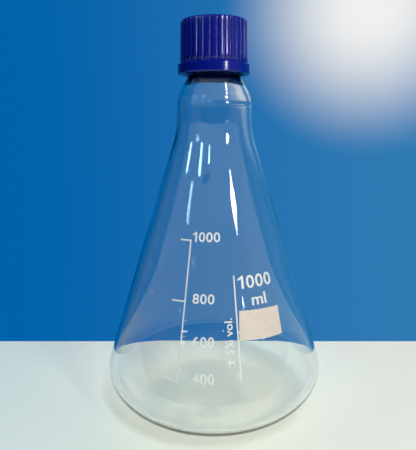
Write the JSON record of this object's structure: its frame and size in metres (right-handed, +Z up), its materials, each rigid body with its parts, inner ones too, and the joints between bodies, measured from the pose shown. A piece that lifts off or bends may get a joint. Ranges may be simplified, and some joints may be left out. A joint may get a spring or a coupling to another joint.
{
  "type": "erlenmeyer flask",
  "caption": "Conical glass laboratory flask with a straight neck, a threaded mouth with a pouring ring, and a ribbed plastic screw cap; fired-on volume scale and writing panel.",
  "frame": {"origin": "centre of the base, in the plane that the foot ring stands on", "axes": "+Z up along the flask's axis, -Y towards the printed front, +X to the right seen from the front"},
  "size_m": [0.131, 0.131, 0.2254],
  "materials": {
    "borosilicate_glass": "clear, faint green in the thick edges",
    "cap_plastic": "moulded, semi-gloss",
    "ring_plastic": "moulded, semi-gloss",
    "seal_plastic": "soft, matt",
    "fired_print": "fired enamel, satin",
    "panel_print": "fired enamel, matt for pencil"
  },
  "bodies": {
    "flask": {"flask_body": "borosilicate_glass", "pouring_ring": "ring_plastic", "graduation_scale": "fired_print", "divider_line": "fired_print", "writing_panel": "panel_print"},
    "seal": {"cap_seal": "seal_plastic"},
    "cap": {"screw_cap": "cap_plastic"}
  },
  "joints": [
    {"name": "cap_rise", "type": "slide", "parent": "flask", "child": "seal", "axis": [0, 0, 1], "range_m": [0, 0.048]},
    {"name": "cap_turn", "type": "hinge", "parent": "seal", "child": "cap", "pos_m": [0, 0, 0.2], "axis": [0, 0, 1], "range_deg": [0, 4320]}
  ],
  "couplings": [
    {"joint": "cap_rise", "follows": "cap_turn", "m_per_rad": 0.00063662}
  ]
}
